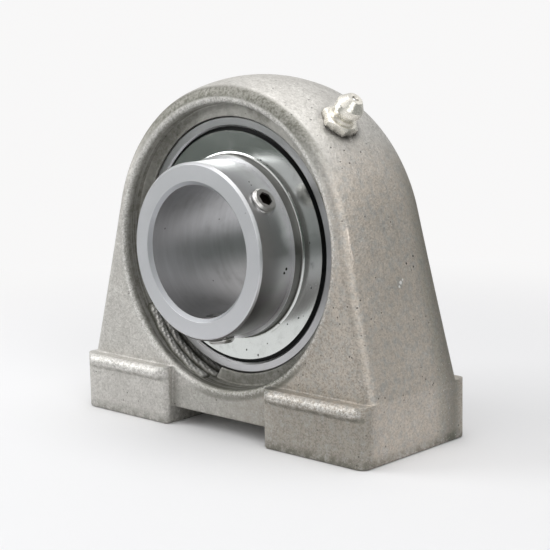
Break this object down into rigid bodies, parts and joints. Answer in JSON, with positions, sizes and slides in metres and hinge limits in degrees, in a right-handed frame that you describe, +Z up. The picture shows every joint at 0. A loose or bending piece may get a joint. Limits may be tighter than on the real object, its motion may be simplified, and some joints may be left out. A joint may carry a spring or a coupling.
{
  "type": "tapped-base pillow block bearing",
  "caption": "Short upright bearing housing on tapped feet, with a grease nipple and a swivelling ball bearing insert locked on the shaft by set screws.",
  "frame": {"origin": "centre of the spherical seat, on the shaft's axis, at the middle of the inner ring's ball groove", "axes": "+Y along the shaft away from the set screws, +X to the right seen from the set-screw side, +Z up; the feet rest at z = -42.9 mm"},
  "size_m": [0.089, 0.0414, 0.0813],
  "materials": {
    "cast_housing": "blasted casting",
    "ground_ring": "ground",
    "pressed_sheet": "bright rolled sheet",
    "seal_rubber": "satin moulded",
    "polished_ball": "polished",
    "screw_steel": "turned",
    "nipple_metal": "plated, satin",
    "spring_wire": "drawn wire"
  },
  "bodies": {
    "housing": {"housing": "cast_housing", "nipple_body": "nipple_metal", "nipple_spring": "spring_wire"},
    "nipple_ball": {"nipple_ball": "polished_ball"},
    "outer_ring": {"outer_ring": "ground_ring", "seal_front": "seal_rubber", "seal_rear": "seal_rubber"},
    "inner_ring": {"inner_ring": "ground_ring", "flinger_front": "pressed_sheet", "flinger_rear": "pressed_sheet"},
    "cage": {"cage_front": "pressed_sheet", "cage_rear": "pressed_sheet", "cage_rivets": "pressed_sheet"},
    "set_screw_1": {"set_screw_1": "screw_steel"},
    "set_screw_2": {"set_screw_2": "screw_steel"},
    "ball_1": {"ball_1": "polished_ball"},
    "ball_2": {"ball_2": "polished_ball"},
    "ball_3": {"ball_3": "polished_ball"},
    "ball_4": {"ball_4": "polished_ball"},
    "ball_5": {"ball_5": "polished_ball"},
    "ball_6": {"ball_6": "polished_ball"},
    "ball_7": {"ball_7": "polished_ball"},
    "ball_8": {"ball_8": "polished_ball"},
    "ball_9": {"ball_9": "polished_ball"}
  },
  "joints": [
    {"name": "swivel", "type": "hinge", "parent": "housing", "child": "outer_ring", "pos_m": [0, 0, 0], "axis": [1, 0, 0], "range_deg": [-2, 2]},
    {"name": "inner_spin", "type": "hinge", "parent": "outer_ring", "child": "inner_ring", "pos_m": [0, 0, 0], "axis": [0, 1, 0], "continuous": true},
    {"name": "cage_spin", "type": "hinge", "parent": "outer_ring", "child": "cage", "pos_m": [0, 0, 0], "axis": [0, 1, 0], "continuous": true},
    {"name": "check_valve", "type": "slide", "parent": "housing", "child": "nipple_ball", "axis": [-0.6743, 0, -0.7385], "range_m": [0, 0.0005], "stiffness_N_per_m": 300, "deforming": ["nipple_spring"]},
    {"name": "set_screw_1_feed", "type": "slide", "parent": "inner_ring", "child": "set_screw_1", "axis": [-0.8028, 0, -0.5962], "range_m": [0, 0.001]},
    {"name": "set_screw_2_feed", "type": "slide", "parent": "inner_ring", "child": "set_screw_2", "axis": [-0.1149, 0, 0.9934], "range_m": [0, 0.001]},
    {"name": "ball_1_roll", "type": "hinge", "parent": "cage", "child": "ball_1", "pos_m": [0.023, 0, 0], "axis": [0, 1, 0], "continuous": true},
    {"name": "ball_2_roll", "type": "hinge", "parent": "cage", "child": "ball_2", "pos_m": [0.01762, 0, 0.01478], "axis": [0, 1, 0], "continuous": true},
    {"name": "ball_3_roll", "type": "hinge", "parent": "cage", "child": "ball_3", "pos_m": [0.00399, 0, 0.02265], "axis": [0, 1, 0], "continuous": true},
    {"name": "ball_4_roll", "type": "hinge", "parent": "cage", "child": "ball_4", "pos_m": [-0.0115, 0, 0.01992], "axis": [0, 1, 0], "continuous": true},
    {"name": "ball_5_roll", "type": "hinge", "parent": "cage", "child": "ball_5", "pos_m": [-0.02161, 0, 0.00787], "axis": [0, 1, 0], "continuous": true},
    {"name": "ball_6_roll", "type": "hinge", "parent": "cage", "child": "ball_6", "pos_m": [-0.02161, 0, -0.00787], "axis": [0, 1, 0], "continuous": true},
    {"name": "ball_7_roll", "type": "hinge", "parent": "cage", "child": "ball_7", "pos_m": [-0.0115, 0, -0.01992], "axis": [0, 1, 0], "continuous": true},
    {"name": "ball_8_roll", "type": "hinge", "parent": "cage", "child": "ball_8", "pos_m": [0.00399, 0, -0.02265], "axis": [0, 1, 0], "continuous": true},
    {"name": "ball_9_roll", "type": "hinge", "parent": "cage", "child": "ball_9", "pos_m": [0.01762, 0, -0.01478], "axis": [0, 1, 0], "continuous": true}
  ],
  "couplings": [
    {"joint": "cage_spin", "follows": "inner_spin", "ratio": 0.39647},
    {"joint": "ball_1_roll", "follows": "inner_spin", "ratio": -2.3112},
    {"joint": "ball_2_roll", "follows": "inner_spin", "ratio": -2.3112},
    {"joint": "ball_3_roll", "follows": "inner_spin", "ratio": -2.3112},
    {"joint": "ball_4_roll", "follows": "inner_spin", "ratio": -2.3112},
    {"joint": "ball_5_roll", "follows": "inner_spin", "ratio": -2.3112},
    {"joint": "ball_6_roll", "follows": "inner_spin", "ratio": -2.3112},
    {"joint": "ball_7_roll", "follows": "inner_spin", "ratio": -2.3112},
    {"joint": "ball_8_roll", "follows": "inner_spin", "ratio": -2.3112},
    {"joint": "ball_9_roll", "follows": "inner_spin", "ratio": -2.3112}
  ]
}
